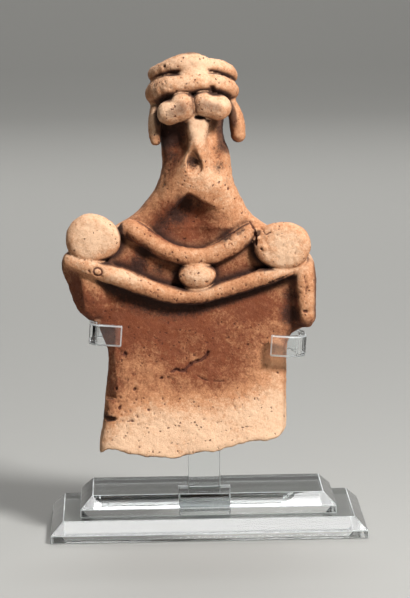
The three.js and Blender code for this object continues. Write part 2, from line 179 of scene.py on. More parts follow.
# Flat facets on the worn edges: a point on the plane, the way it faces, the box that it is kept to, and
# how far its edge is rounded
FACETS = (
    ((-49.6, -26.6, 100), (-0.83, -0.55, -0.15), (-60, -34, 86), (-44, -8, 113), 0.8),
    ((-34.8, -27.3, 68), (-0.80, -0.61, 0.03), (-46, -34, 57.5), (-33, -8, 83), 0.5),
    ((-39.6, -29.4, 50), (-0.76, -0.64, 0.1), (-46, -36, 30), (-37, -8, 60), 0.8),
)

SPACING = 0.5  # mm between samples of the clay's form
FAR = 9.0  # mm, the greatest distance from the clay that a sample keeps
ROOM = 2.5  # mm of air round the figure

corners = [np.array(corner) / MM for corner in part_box("figurine")]
axes = [np.arange(low - ROOM, high + ROOM, SPACING) for low, high in zip(*corners)]
clay = np.full([len(axis) for axis in axes], FAR, np.float32)


def window(low, high, margin):
    """The samples inside a box and its margin, as slices, with their places"""
    cut = tuple(
        slice(*np.searchsorted(axis, (a - margin, b + margin)))
        for axis, a, b in zip(axes, low, high)
    )
    places = np.meshgrid(*(axis[part] for axis, part in zip(axes, cut)), indexing="ij", sparse=True)
    return cut, places


def smeared(one, other, blend):
    """Two forms joined, with the corner between them filled over the blend"""
    smear = np.clip(1 - np.abs(one - other) / blend, 0, None)
    return np.minimum(one, other) - blend * smear**2 / 4


def press_on(form, low, high, blend):
    """Joins a form to the clay; a blend may change with height"""
    cut, places = window(low, high, FAR)
    if callable(blend):
        blend = blend(places[2])
    clay[cut] = smeared(clay[cut], form(*places), blend)


def cut_away(form, low, high, blend):
    """Takes a form out of the clay, and rounds the edge over the blend"""
    cut, places = window(low, high, blend + 1)
    clay[cut] = -smeared(-clay[cut], form(*places), blend)


def through(rows):
    """A smooth curve through rows of a place and the values there"""
    places, values = rows[:, 0], rows[:, 1:]
    slopes = np.gradient(values, places, axis=0)

    def at(place):
        place = np.clip(place, places[0], places[-1])
        i = np.clip(np.searchsorted(places, place) - 1, 0, len(places) - 2)
        gap = (places[i + 1] - places[i])[:, None]
        t = (place - places[i])[:, None] / gap
        ends = values[i] * (2 * t**3 - 3 * t**2 + 1) + values[i + 1] * (3 * t**2 - 2 * t**3)
        return ends + gap * (slopes[i] * (t**3 - 2 * t**2 + t) + slopes[i + 1] * (t**3 - t**2))

    return at


def press_levels(levels, blend):
    """Joins a form that reaches as far as its levels say"""
    curve = through(levels)
    middle = (levels[0, 0] + levels[-1, 0]) / 2
    half_height = (levels[-1, 0] - levels[0, 0]) / 2

    def form(x, y, z):
        left, right, front, back, square = curve(z.ravel()).T
        half_x, half_y = (right - left) / 2, (back - front) / 2
        across = np.abs(x - (left + right) / 2) / half_x
        inward = np.abs(y - (front + back) / 2) / half_y
        reach = (across**square + inward**square) ** (1 / square) + 1e-6
        slope = np.hypot(
            (across / reach) ** (square - 1) / half_x, (inward / reach) ** (square - 1) / half_y
        )
        return np.maximum((reach - 1) / slope, np.abs(z - middle) - half_height)

    low = (levels[:, 1].min(), levels[:, 3].min(), levels[0, 0])
    high = (levels[:, 2].max(), levels[:, 4].max(), levels[-1, 0])
    press_on(form, low, high, blend)


COIL_STEPS = 7  # straight lengths from one named place of a coil to the next
COIL_UNEVEN = 0.05  # how much of its radius a hand-rolled coil gains or loses
COIL_PACE = 0.35  # how soon that changes along the coil


def press_coil(rows, blend, seed, deeper=1.0):
    """Joins a coil rolled between the hands; deeper stretches its section front to back"""
    count = COIL_STEPS * (len(rows) - 1) + 1
    path = through(np.c_[range(len(rows)), rows])(np.linspace(0, len(rows) - 1, count))
    for i in range(count):
        path[i, 3] *= 1 + COIL_UNEVEN * noise.noise(Vector((i * COIL_PACE, seed, 7.7)))
    reach = path[:, 3:] * (1, deeper, 1)
    cut, places = window((path[:, :3] - reach).min(0), (path[:, :3] + reach).max(0), FAR)
    coil = np.full(clay[cut].shape, FAR, np.float32)
    stretch = np.array((1, 1 / deeper, 1))
    # Each straight length is worked out only for the samples near it
    for start, end in zip(path[:-1], path[1:]):
        near = tuple(
            slice(*np.searchsorted(axis.ravel(), (min(p, q) - 2 * FAR, max(p, q) + 2 * FAR)))
            for axis, p, q in zip(places, start, end)
        )
        offset = [
            (axis.ravel()[part].reshape([-1 if k == i else 1 for k in range(3)]) - start[i]) * stretch[i]
            for i, (axis, part) in enumerate(zip(places, near))
        ]
        along = (end - start)[:3] * stretch
        t = np.clip(sum(o * d for o, d in zip(offset, along)) / (along @ along), 0, 1)
        away = np.sqrt(sum((o - t * d) ** 2 for o, d in zip(offset, along)))
        coil[near] = np.minimum(coil[near], away - (start[3] + t * (end[3] - start[3])))
    clay[cut] = smeared(clay[cut], coil, blend)


def ellipsoid(at, half):
    """A rounded form, from its middle and half sizes"""
    def form(x, y, z):
        parts = [(p - c) / h for p, c, h in zip((x, y, z), at, half)]
        reach = np.sqrt(sum(p**2 for p in parts)) + 1e-6
        slope = np.sqrt(sum((p / h) ** 2 for p, h in zip(parts, half))) + 1e-6
        return reach * (reach - 1) / slope

    return form


def pellet(at, half, blend, work=press_on):
    """A pellet pressed on, or a hollow of that form where the work is cut_away"""
    at, half = np.array(at), np.array(half)
    work(ellipsoid(at, half), at - half, at + half, blend)


def press_eye(lobes, melt, blend):
    """Two pellets smeared into one bean, then joined to the face"""
    def bean(x, y, z):
        one, other = (ellipsoid(at, half)(x, y, z) for at, half in lobes)
        return smeared(one, other, melt)

    low = np.min([np.subtract(at, half) for at, half in lobes], axis=0)
    high = np.max([np.add(at, half) for at, half in lobes], axis=0)
    press_on(bean, low, high, blend)


OVAL, THREE_SIDED = 0.018, 0.02  # how far a disc's rim is from round
DISC_MIDDLE = 0.3  # mm that each face stands out at the middle, beyond the rim's own radius
DISC_DOME = 0.9  # mm that it falls away towards the rim


def press_disc(at, half, turn, blend):
    """A ball of clay flattened on the shoulder, with a rounded rim, not quite round"""
    rim = DISC_THICK / 2

    def form(x, y, z):
        angle = np.arctan2(z - at[2], x - at[0])
        uneven = 1 + OVAL * np.cos(2 * angle + turn) + THREE_SIDED * np.cos(3 * angle + 2 * turn)
        across = np.hypot((x - at[0]) / half[0], (z - at[2]) / half[1]) / uneven
        out = (across - 1) * sum(half) / 2 + rim
        dome = np.abs(y - at[1]) + DISC_DOME * across**2
        return np.hypot(np.clip(out, 0, None), np.clip(dome - DISC_MIDDLE, 0, None)) - rim

    press_on(form, np.subtract(at, DISC_ROOM), np.add(at, DISC_ROOM), blend)


def shave(point, facing, low, high, blend):
    """Cuts the clay flat beyond a plane"""
    facing = Vector(facing).normalized()

    def form(x, y, z):
        return -sum((p - c) * n for p, c, n in zip((x, y, z), point, facing))

    cut_away(form, low, high, blend)


STEEP = 0.8  # a sunk face slopes, so a step of 1 mm in depth is less than 1 mm from it


def sink(low, high, depth):
    """Presses the front of the clay in; depth gives how far at each place across and up"""
    (across, inward, up), _ = window(low, high, 0)
    part = clay[across, inward, up]
    first = np.clip(np.argmax(part < 0, axis=1), 1, None)[:, None, :]
    inside, outside = (np.take_along_axis(part, first - k, 1)[:, 0] for k in (0, 1))
    face = axes[1][inward][first[:, 0]] - SPACING * inside / (inside - outside)
    new = face + depth(axes[0][across][:, None], axes[2][up][None, :])
    out = (new[:, None, :] - axes[1][inward][None, :, None]) * STEEP
    sunk = new[:, None, :] > face[:, None, :] + 0.02
    clay[across, inward, up] = np.where(sunk, np.maximum(part, out), part)


def smooth(value):
    """0 up to 1, eased at both ends"""
    value = np.clip(value, 0, 1)
    return value * value * (3 - 2 * value)


CHIN = np.array([  # the chin's overhanging lower edge: place along x, height, depth under it, softness
    (-28.0, 118.0, 0.0, 8.0), (-22.0, 124.0, 1.8, 8.0), (-17.0, 128.4, 3.8, 7.0),
    (-12.0, 132.8, 5.2, 4.8), (-8.4, 136.2, 6.2, 3.2), (-6.2, 137.6, 6.6, 2.2),
    (-3.6, 136.4, 6.4, 1.8), (-1.2, 134.8, 5.2, 1.8), (0.8, 133.8, 3.2, 2.0),
    (2.8, 133.0, 1.4, 2.4), (5.0, 132.0, 0.3, 3.0), (8.0, 130.0, 0.0, 4.0),
])
THROAT_FOOT = 112.0  # height where the hollow has run out
THROAT_FALL = 0.75  # below 1 keeps it deep for longer


def throat(x, z):
    """How deep the hollow under the chin is"""
    edge, depth, soft = through(CHIN)(x[:, 0]).T[:, :, None]
    fallen = np.clip((edge - z) / (edge - THROAT_FOOT), 0, 1)
    return depth * smooth((edge - z) / soft) * (1 - fallen) ** THROAT_FALL


NOSE_BREAK = np.array([  # where the nose's tip broke away: height, its left and right edge, depth
    (143.6, -5.4, -1.6, 0.0), (146.6, -6.6, -0.4, 1.6), (149.6, -7.0, -0.8, 2.7),
    (152.4, -6.2, -2.0, 2.3), (155.4, -4.6, -3.3, 0.4),
])
SCAR_RIM = 1.9  # mm over which the scar's edge falls
SCAR_OUTSIDE = 0.5  # how much of that lies outside its edge


def broken_tip(x, z):
    """How deep the scar on the nose is"""
    left, right, depth = (np.interp(z, NOSE_BREAK[:, 0], NOSE_BREAK[:, k]) for k in (1, 2, 3))
    return depth * smooth((np.minimum(x - left, right - x) + SCAR_OUTSIDE) / SCAR_RIM)


def nose_blend(z):
    """The nose grows softly out of the neck, and stands up sharply between the eyes"""
    return np.interp(z, (142, 150, 158, 168), (7, 4, 2.2, 1.6))


# The slab with its stumps and worn edges, the nose and the throat, then what is pressed on, in turn
press_levels(BODY, blend=0.5)
press_levels(LEFT_STUMP, blend=5.0)
press_levels(RIGHT_STUMP, blend=4.5)
for facet in FACETS:
    shave(*facet)
press_levels(NOSE, blend=nose_blend)
pellet(*EDGE_CHIP, work=cut_away)
sink((-28, -37, 112), (9, -12, 141), depth=throat)
sink((-8, -37, 143), (1, -24, 158), depth=broken_tip)
for place in EYE_GAPS:
    pellet(place, EYE_GAP, blend=0.5, work=cut_away)
pellet(*SKULL)
press_coil(BROW_BAND, blend=0.6, seed=1.0)
press_coil(CROWN_LEFT, blend=0.6, seed=2.0)
press_coil(CROWN_RIGHT, blend=0.6, seed=3.0)
pellet(*CROWN_PAD)
press_coil(LEFT_EAR, blend=1.0, seed=4.0, deeper=1.5)
press_coil(RIGHT_EAR, blend=1.0, seed=5.0, deeper=1.5)
for *lobes, nick in EYES:
    press_eye(lobes, melt=2.6, blend=0.5)
    pellet(nick, EYE_NICK, blend=1.4, work=cut_away)
press_coil(COLLAR, blend=0.7, seed=6.0)
press_coil(LOWER_COLLAR, blend=0.7, seed=8.0)
press_disc(*LEFT_DISC, blend=0.3)
press_disc(*RIGHT_DISC, blend=0.3)
pellet(*SHOULDER_PAD)
for place, size in CRUMBS:
    pellet(place, (size, size, 1.2 * size), blend=0.3)
pellet(*PENDANT)

# The ragged break under the hips, which rises a little towards the back
BREAK_EDGE = np.array([  # place along x and height
    (-44.0, 33.6), (-42.3, 34.0), (-39.1, 35.9), (-34.2, 36.1), (-31.2, 34.8), (-26.8, 34.0),
    (-21.0, 33.3), (-12.1, 33.0), (-6.7, 34.1), (-1.3, 35.1), (2.6, 35.3), (6.8, 36.6),
    (10.5, 37.3), (14.7, 38.4), (18.4, 38.9), (24.2, 39.3), (28.4, 40.0), (31.0, 42.8),
])
BREAK_FRONT, BREAK_DEEP = -29, 18.4
BREAK_RISE = 1.4  # mm from its front to its back
BREAK_ROUND = 1.4
BREAK_LUMPS = ((8, 3.3, 0.8), (2.6, 9.1, 0.45))  # size, seed and height

ragged = np.array([
    [sum(tall * noise.noise(Vector((x / size, y / size, seed))) for size, seed, tall in BREAK_LUMPS)
     for y in axes[1]] for x in axes[0]
])[:, :, None]
rise = BREAK_RISE * (axes[1][None, :, None] - BREAK_FRONT) / BREAK_DEEP
edge_height = through(BREAK_EDGE)(axes[0])[:, 0][:, None, None]
below = edge_height + rise + ragged - axes[2][None, None, :]
clay = -smeared(-clay, -below, BREAK_ROUND)

grid = openvdb.FloatGrid(FAR)
grid.copyFromArray(clay.astype(np.float32))
samples, quads = grid.convertToQuads(0.0)
origin = np.array([axis[0] for axis in axes])
skin = origin + samples * SPACING

figurine = bpy.data.objects.new("fired_clay_idol", bpy.data.meshes.new("fired_clay_idol"))
bpy.context.collection.objects.link(figurine)
figurine.data.from_pydata((skin * MM).tolist(), [], quads.tolist())
figurine.data.shade_smooth()
normals = np.empty(len(skin) * 3, np.float32)
figurine.data.vertex_normals.foreach_get("vector", normals)
normals = normals.reshape(-1, 3)


def depth_at(points):
    """How far points are outside the clay, or inside it where that is negative"""
    place = np.clip((points - origin) / SPACING, 0, np.array(clay.shape) - 1.001)
    cell = place.astype(int)
    t = place - cell
    total = 0
    for corner in np.ndindex(2, 2, 2):
        weight = np.prod(np.where(corner, t, 1 - t), axis=1)
        total = total + weight * clay[tuple((cell + corner).T)]
    return total


def front_of(x, z):
    """The foremost clay seen from the front at a place"""
    i, k = (int(round((v - axis[0]) / SPACING)) for v, axis in ((x, axes[0]), (z, axes[2])))
    return axes[1][np.argmax(clay[i, :, k] < 0)]


# Corners and hollows, close by and further out, which are darkened as painted shade (the close ones as
# dirt too), and the raised places that are rubbed
CORNER_REACHES = (1.0, 1.8, 3.0)
WIDER_REACHES = (5.0, 7.0)
RUBBED_REACH = 2.0

# Painted shade: how shut in each place is, close by (which also stands for dirt) and further out
close_corner_dirt_and_shade, painted_shade_in_hollows = (
    np.max([np.clip(1 - depth_at(skin + normals * reach) / reach, 0, 1) for reach in reaches], axis=0)
    for reaches in (CORNER_REACHES, WIDER_REACHES)
)
worn = np.clip(1 + depth_at(skin - normals * RUBBED_REACH) / RUBBED_REACH, 0, 1)

# The hand-shaped skin: soft dents from fingers, then drag marks and grit
DENTS = ((13, 0.4, 1.3), (5.5, 0.2, 4.1), (2.4, 0.18, 8.2), (1.2, 0.1, 5.5))  # size, height and seed
push = np.zeros(len(skin))
for size, height, seed in DENTS:
    push += height * np.array([noise.noise(Vector(p)) for p in (skin / size + seed).tolist()])

# Pits left by grit and burnt-out straw: strewn all over, then in patches, then the larger ones
STREWN_PITS = 760
ROUGH_PATCHES = (  # place along x, height, reach and how many pits
    (-33, 64, 5, 40), (-24, 110, 4, 30), (9, 117, 5, 45), (-2, 94, 3, 18), (31, 118, 5, 28),
    (15, 76, 7, 26), (8, 158, 4, 30), (-3.6, 147.6, 3, 46), (6, 152, 6, 50), (-38, 51, 4, 34),
    (-32, 52, 6, 60), (-33, 73.5, 2.4, 34), (-14, 127, 6, 16), (-20, 50, 9, 26), (14, 48, 12, 24),
    (38, 98, 4, 14), (-46, 98, 5, 26), (-30, 104, 7, 16), (-6, 104, 5, 14), (22, 104, 6, 22),
    (-12, 179, 6, 16), (6, 181, 5, 18), (12, 164, 5, 12),
)
LARGER_PITS = (  # place along x, height and radius
    (38.9, 90.2, 1.0), (-14.6, 186.6, 0.8), (-12.6, 178.4, 0.5), (-5.0, 181.8, 0.5), (2.2, 189.0, 0.5),
    (-34.5, 52.6, 1.0), (-39.5, 51.3, 0.8), (-31.3, 47.4, 0.7), (-29.3, 47.4, 0.9), (-31.6, 43.0, 0.5),
    (-23.2, 51.8, 0.8), (-28.4, 59.9, 0.8), (-29.8, 62.6, 0.5), (-28.0, 65.6, 0.5), (-28.5, 69.6, 0.6),
    (-32.0, 73.8, 1.0), (-35.0, 70.4, 0.6), (-35.9, 60.2, 0.8), (-30.4, 84.2, 0.7), (-24.4, 73.9, 0.6),
    (-25.3, 77.9, 0.5), (-23.6, 79.3, 0.5), (-19.0, 78.7, 0.6), (-19.9, 70.4, 0.6), (-17.6, 71.6, 0.6),
    (-17.9, 64.1, 0.9), (-15.3, 64.4, 0.5), (-13.3, 80.7, 0.5), (-12.0, 82.9, 0.4), (-12.6, 45.5, 0.5),
    (-17.7, 38.0, 0.5), (-27.2, 39.9, 0.5), (4.7, 84.8, 0.7), (6.0, 85.7, 0.7), (13.3, 84.5, 0.6),
    (16.1, 76.8, 0.8), (9.0, 74.8, 0.5), (4.4, 78.6, 0.4), (10.7, 79.8, 0.4), (3.5, 74.6, 0.4),
    (13.5, 57.5, 0.5), (8.3, 62.9, 0.5), (22.0, 63.2, 0.5), (28.0, 65.2, 0.7), (26.4, 81.6, 0.7),
    (23.6, 47.2, 0.4), (15.7, 100.8, 0.6), (26.5, 101.9, 0.7), (25.2, 121.7, 0.5), (29.2, 119.0, 0.6),
    (30.7, 116.9, 0.6), (31.2, 115.8, 0.5), (28.2, 120.5, 0.6), (26.6, 118.5, 0.5), (24.6, 120.0, 0.5),
    (27.2, 122.0, 0.4), (24.2, 117.6, 0.4), (30.0, 117.9, 0.4), (35.0, 113.2, 0.6), (36.6, 117.4, 0.4),
    (33.6, 121.0, 0.4), (28.8, 111.6, 0.5), (-8.0, 118.6, 0.7), (20.0, 117.2, 0.6), (21.8, 115.0, 0.7),
    (-9.6, 101.6, 0.6), (0.4, 102.4, 0.7),
)
PIT_RIM = 1.7  # a pit's soft rim reaches this many times its radius
PIT_UNEVEN = 0.5

rng = random.Random(7)
pits = []  # place, radius and depth; real grit is finer, and these are as coarse as shows in the picture
for _ in range(STREWN_PITS):
    radius = rng.uniform(0.24, 0.36) + 0.4 * rng.random() ** 9  # a few are much larger
    pits.append((skin[rng.randrange(len(skin))], radius, radius * rng.uniform(0.5, 1.1)))
for x, z, reach, count in ROUGH_PATCHES:
    for _ in range(count):
        u, v = x + rng.gauss(0, reach / 2), z + rng.gauss(0, reach / 2)
        radius = rng.uniform(0.26, 0.46)
        pits.append((np.array((u, front_of(u, v), v)), radius, radius * rng.uniform(0.7, 1.3)))
for x, z, radius in LARGER_PITS:
    pits.append((np.array((x, front_of(x, z), z)), 0.7 * radius, 1.1 * radius))

tree = kdtree.KDTree(len(skin))
for i, p in enumerate(skin.tolist()):
    tree.insert(p, i)
tree.balance()
hollow = np.zeros(len(skin))
for place, radius, drop in pits:
    squeeze_x, squeeze_z = rng.uniform(0.5, 1.0), rng.uniform(0.5, 1.0)
    for co, i, _ in tree.find_range(place, radius * PIT_RIM):
        away = math.hypot((co[0] - place[0]) / squeeze_x, co[1] - place[1], (co[2] - place[2]) / squeeze_z)
        away *= 1 + PIT_UNEVEN * noise.noise(co / 0.8)
        hollow[i] = max(hollow[i], drop * (1 - (away / (radius * PIT_RIM)) ** 2))

# Cracks, the scratches beside them and the seams where a coil has parted from the slab
CRACKS = (  # points across the front (along x, height), then half the width and the depth
    (((-14.0, 66.5), (-11.8, 67.5), (-10.1, 66.7), (-8.4, 67.2), (-7.1, 68.7), (-5.1, 70.1), (-2.7, 70.6),
      (-0.8, 71.8), (0.4, 73.1), (0.5, 74.0)), 0.3, 1.2),
    (((-8.4, 67.8), (-6.4, 69.9), (-3.4, 71.2)), 0.18, 0.6),
    (((-3.7, 64.7), (-1.6, 63.4), (2.1, 62.6), (6.5, 62.3)), 0.16, 0.5),
    (((-8.4, 67.0), (-7.6, 65.6)), 0.16, 0.5),
    (((17.9, 125.0), (19.4, 122.6), (19.8, 119.8), (19.6, 116.6)), 0.26, 1.1),
    (((22.0, 123.2), (23.4, 120.6), (25.4, 121.6)), 0.16, 0.6),
    (((38.4, 104.0), (39.4, 100.0), (39.0, 97.0)), 0.16, 0.5),
    (((10.3, 52.8), (11.4, 51.0), (12.4, 49.8)), 0.2, 0.3),
    (((13.5, 57.2), (14.8, 56.4), (15.6, 55.1)), 0.2, 0.3),
    (((34.6, 105.4), (29.6, 103.2), (24.6, 101.4)), 0.16, 0.4),
)
CRACK_WANDER = 0.35  # mm that a crack strays from its line
CRACK_FRONT = -20  # cracks are only in the clay in front of this

in_front = skin[:, 1] < CRACK_FRONT
flat = skin[in_front][:, ::2]
wander = np.array([noise.noise(Vector((x, z, 2.2))) for x, z in (flat / 1.1).tolist()])
for line, half_width, drop in CRACKS:
    line = np.array(line)
    away = np.full(len(skin), FAR)
    for begin, end in zip(line[:-1], line[1:]):
        along, offset = end - begin, flat - begin
        t = np.clip(offset @ along / (along @ along), 0, 1)
        away[in_front] = np.minimum(away[in_front], np.hypot(*(offset - t[:, None] * along).T))
    away[in_front] += CRACK_WANDER * wander
    hollow = np.maximum(hollow, drop * np.clip(1 - (away / (2 * half_width)) ** 2, 0, 1))

# The ring that a hollow reed's end left in the lower collar
RING_X, RING_Z, RING_RADIUS = -42.0, 107.2, 1.65
RING_HALF_WIDTH, RING_DEEP = 0.5, 0.7
away = np.hypot(skin[:, 0] - RING_X, skin[:, 2] - RING_Z)
ring = np.clip(1 - (np.abs(away - RING_RADIUS) / RING_HALF_WIDTH) ** 2, 0, 1) * in_front
hollow = np.maximum(hollow, RING_DEEP * ring)

skin = skin + normals * (push - hollow)[:, None]
figurine.data.vertices.foreach_set("co", (skin * MM).astype(np.float32).ravel())
figurine.data.update()

# Places fired pale or left dark, mixed with painted light and shade: pale on the discs, the nose and the
# left ear where the light falls full, and dark under the collars, in the throat, on the neck beside the
# nose and on the left stump, where shade falls. The dark ones go on the slab and not on the coils
FIRED_TONE_AND_PAINTED_LIGHT = (  # place along x, height, reach across and up, and how pale (or dark, below 0) it is
    (-28, 37, 20, 14, 0.75), (0, 38, 24, 15, 0.95), (24, 41, 16, 15, 0.9), (26, 62, 9, 16, 0.5),
    (-4.4, 71.4, 4, 1.4, 0.7), (0, 70, 30, 15, -1.0), (-38, 62, 5, 24, -0.6), (-30, 88, 16, 11, -1.2),
    (-4, 88, 20, 9, -0.8), (22, 89, 14, 8, -0.7), (-28, 107, 14, 9, -1.0), (-4, 181, 18, 7, 0.6),
    (8, 105, 18, 9, -0.8), (-32, 104, 12, 4, 0.5), (-43.7, 119.8, 10, 10, 1.1),
    (31.5, 115.0, 9, 9, 1.0), (-20, 95.5, 14, 5, -1.0), (8, 93.5, 16, 4, -1.0),
    (-3.4, 104.4, 7, 5, 0.8), (-20, 123, 12, 9, -0.5), (-4, 123, 14, 8, -1.0),
    (-11, 156, 6, 14, -1.0), (-18.6, 164, 3, 8, 0.8), (-3.4, 104.4, 6, 5, -0.5), (7, 158, 4, 9, 0.5),
    (-9, 128, 10, 7, -0.8), (-12, 140, 8, 8, -0.2), (8, 137, 8, 11, 0.35), (-2, 163, 4, 6, 1.3),
    (-2, 141, 5, 4, 0.4), (-11, 169, 7, 6, 0.6), (4, 171, 8, 6, 0.7), (-6, 188, 14, 4, 0.6),
    (-50, 100, 7, 10, -1.0), (34, 94, 4, 10, -0.7), (7, 156, 5, 12, -0.7),
)
PAINTED_DOWNWARD_SHADE = 0.3  # how much darker what faces down is painted, as painted shade, and a little paler what faces up
SLAB_FRONT, SLAB_FADE = -30.4, 2.2

slab = np.clip((skin[:, 1] - SLAB_FRONT) / SLAB_FADE, 0, 1)
fired_tone_and_painted_light = np.zeros(len(skin))
for x, z, wide, tall, pale in FIRED_TONE_AND_PAINTED_LIGHT:
    near = np.exp(-((skin[:, 0] - x) / wide) ** 2 - ((skin[:, 2] - z) / tall) ** 2)
    fired_tone_and_painted_light += pale * near * (slab if pale < 0 else 1)
# Painted shade: what faces down is darker, and what faces up a little paler
fired_tone_and_painted_light = np.clip(0.5 + 0.5 * fired_tone_and_painted_light + PAINTED_DOWNWARD_SHADE * np.clip(normals[:, 2], -1, 0.2), 0, 1)

# Soot and painted shadow: round spots, some of them soot and some painted shadow (in the throat, on the
# neck left of the nose, and under and between the collars), and a painted shadow that runs along under the
# lower collar
SOOT_AND_PAINTED_SHADOW = (  # place along x, height, reach and strength
    (6.5, 161.0, 4.0, 0.6), (6.5, 154.0, 4.0, 0.6), (6.0, 147.0, 3.5, 0.6), (9.0, 141.0, 3.0, 0.4),
    (34.0, 96.0, 5.0, 0.7), (33.5, 88.0, 5.5, 0.9), (9.0, 118.0, 5.0, 0.8), (14.0, 121.0, 4.0, 0.7),
    (22.0, 118.0, 4.0, 0.6), (25.0, 108.0, 5.0, 0.8), (20.0, 112.0, 4.0, 0.6), (-40.0, 49.0, 3.0, 0.8),
    (-1.5, 94.6, 2.4, 0.7), (-4.2, 149.4, 3.6, 1.0), (-12.0, 159.0, 6.0, 1.0), (-12.5, 151.0, 4.0, 0.7),
    (-7.5, 132.5, 5.5, 0.9), (-11.0, 128.0, 6.0, 0.85), (-16.0, 125.0, 6.0, 0.7), (-3.0, 132.0, 4.0, 0.6),
    (-24.0, 114.0, 4.5, 0.9), (-26.0, 109.0, 5.0, 0.9), (-18.0, 107.0, 4.0, 0.7), (-11.0, 104.5, 3.5, 0.8),
)
COLLAR_SHADOW_REACH = np.array([  # place along x, and how far the painted shadow runs down from the collar there
    (-45.0, 0.5), (-40.0, 4.5), (-34.0, 10.0), (-26.0, 12.5), (-15.0, 11.0), (-5.0, 8.5), (5.0, 6.0),
    (20.0, 4.5), (30.0, 3.0), (34.0, 0.5),
])
COLLAR_SHADOW_LEFT, COLLAR_SHADOW_RIGHT, COLLAR_SHADOW_FADE = -46, 35, 5
COLLAR_SHADOW_ABOVE = 2  # mm above the collar's foot that it starts
COLLAR_SHADOW_FULL = 0.15  # the share of its reach where it is still at its darkest
COLLAR_SHADOW_STRENGTH = 0.85
MARKS_BACK = -14  # soot and painted shadow go only on the clay in front of this
COIL_FRONT, COIL_FADE = -31.4, 1.4  # and not on the coils' own fronts

front_clay = skin[:, 1] < MARKS_BACK
soot_and_painted_shadow = np.zeros(len(skin))
for x, z, reach, strength in SOOT_AND_PAINTED_SHADOW:
    away = np.hypot(skin[:, 0] - x, skin[:, 2] - z) / reach
    soot_and_painted_shadow = np.maximum(soot_and_painted_shadow, strength * np.exp(-away**2) * front_clay)
# The painted shadow that the lower collar would cast on the slab below it
collar_foot = np.interp(skin[:, 0], LOWER_COLLAR[:, 0], LOWER_COLLAR[:, 2] - LOWER_COLLAR[:, 3])
under = collar_foot - skin[:, 2]
shadow_and_soot = smooth(1 + COLLAR_SHADOW_FULL - under / np.interp(skin[:, 0], *COLLAR_SHADOW_REACH.T)) * (under > -COLLAR_SHADOW_ABOVE)
shadow_and_soot *= smooth((skin[:, 0] - COLLAR_SHADOW_LEFT) / COLLAR_SHADOW_FADE) * smooth((COLLAR_SHADOW_RIGHT - skin[:, 0]) / COLLAR_SHADOW_FADE)
shadow_and_soot *= COLLAR_SHADOW_STRENGTH * front_clay
soot_and_painted_shadow = np.maximum(soot_and_painted_shadow, shadow_and_soot) * np.clip((skin[:, 1] - COIL_FRONT) / COIL_FADE, 0, 1)

marks = {
    "close_corner_dirt_and_shade": close_corner_dirt_and_shade, "painted_shade_in_hollows": painted_shade_in_hollows, "worn": worn, "soot_and_painted_shadow": soot_and_painted_shadow, "pitted": hollow, "fired_tone_and_painted_light": fired_tone_and_painted_light,
}
for name, values in marks.items():
    layer = figurine.data.attributes.new(name, "FLOAT", "POINT")
    layer.data.foreach_set("value", values.astype(np.float32))

# The plain back, which has no fine marks, takes fewer faces
PLAIN_BACK = -16
TURNED_BACK = 0.25
FACES_KEPT = 0.64
plain = np.flatnonzero((normals[:, 1] > TURNED_BACK) | (skin[:, 1] > PLAIN_BACK))
behind = figurine.vertex_groups.new(name="out_of_sight")
behind.add(plain.tolist(), 1.0, "REPLACE")
thinned = figurine.modifiers.new("fewer_faces_behind", "DECIMATE")
thinned.ratio = FACES_KEPT
thinned.vertex_group = "out_of_sight"
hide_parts("figurine")
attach(figurine, "root")


def linear(code):
    """A shader colour from an sRGB hex value"""
    parts = [int(code[i : i + 2], 16) / 255 for i in (1, 3, 5)]
    return [c / 12.92 if c <= 0.04045 else ((c + 0.055) / 1.055) ** 2.4 for c in parts] + [1.0]


def add(material, kind, links, **settings):
    """Adds a node with its settings and its links or values by socket, and gives its outputs"""
    node = material.node_tree.nodes.new(kind)
    for name, value in settings.items():
        setattr(node, name, value)
    for socket, source in links.items():
        if isinstance(source, bpy.types.NodeSocket):
            material.node_tree.links.new(node.inputs[socket], source)
        else:
            node.inputs[socket].default_value = source
    return node.outputs


# Low-fired red clay, smoothed by hand and long buried: quite matt, with sandy spots and pores. It is pale
# where it is raised and rubbed, red-brown on the slab, and nearly black in corners and pits; the dark in
# the corners is painted shade as well as dirt, and painted light and shade also run through its fired tone
# and soot.
SPOTS = {  # soft spots: their size in mm, how much fine detail is in them, and how rough it is
    "firing": (13, 4, 0.55),
    "grain": (2.6, 6, 0.8),
    "sand": (0.9, 4, 0.75),
    "shadow_and_soot": (1.3, 6, 0.8),
    "porous": (6, 2, 0.55),
    "sheen": (3, 3, 0.55),
    "grit": (1.1, 6, 0.8),
}
PORE_APART = 1.6  # mm between the small pores, which are drawn as coarse as they need to be to show
PORE_STRAY = 1.3  # mm that their edges stray
STRAY_SIZE = 0.8
GRIT_HIGH, PORE_DEEP = 0.55, 0.35
clay_finish = bpy.data.materials.new("low_fired_red_clay")
clay_finish.use_nodes = True
shader = clay_finish.node_tree.nodes["Principled BSDF"]
where = add(clay_finish, "ShaderNodeTexCoord", {})["Object"]
shows = {name: add(clay_finish, "ShaderNodeAttribute", {}, attribute_name=name)["Fac"] for name in marks}
for name, (size, detail, rough) in SPOTS.items():
    links = {"Vector": where, "Scale": 1 / (size * MM), "Detail": detail, "Roughness": rough}
    shows[name] = add(clay_finish, "ShaderNodeTexNoise", links)["Fac"]
links = {"Vector": where, "Scale": 1 / (STRAY_SIZE * MM)}
strayed = add(clay_finish, "ShaderNodeTexNoise", links)["Color"]
links = {0: strayed, 1: [PORE_STRAY * MM] * 3, 2: where}
strayed = add(clay_finish, "ShaderNodeVectorMath", links, operation="MULTIPLY_ADD")["Vector"]
cell = add(clay_finish, "ShaderNodeTexVoronoi", {"Vector": strayed, "Scale": 1 / (PORE_APART * MM)})

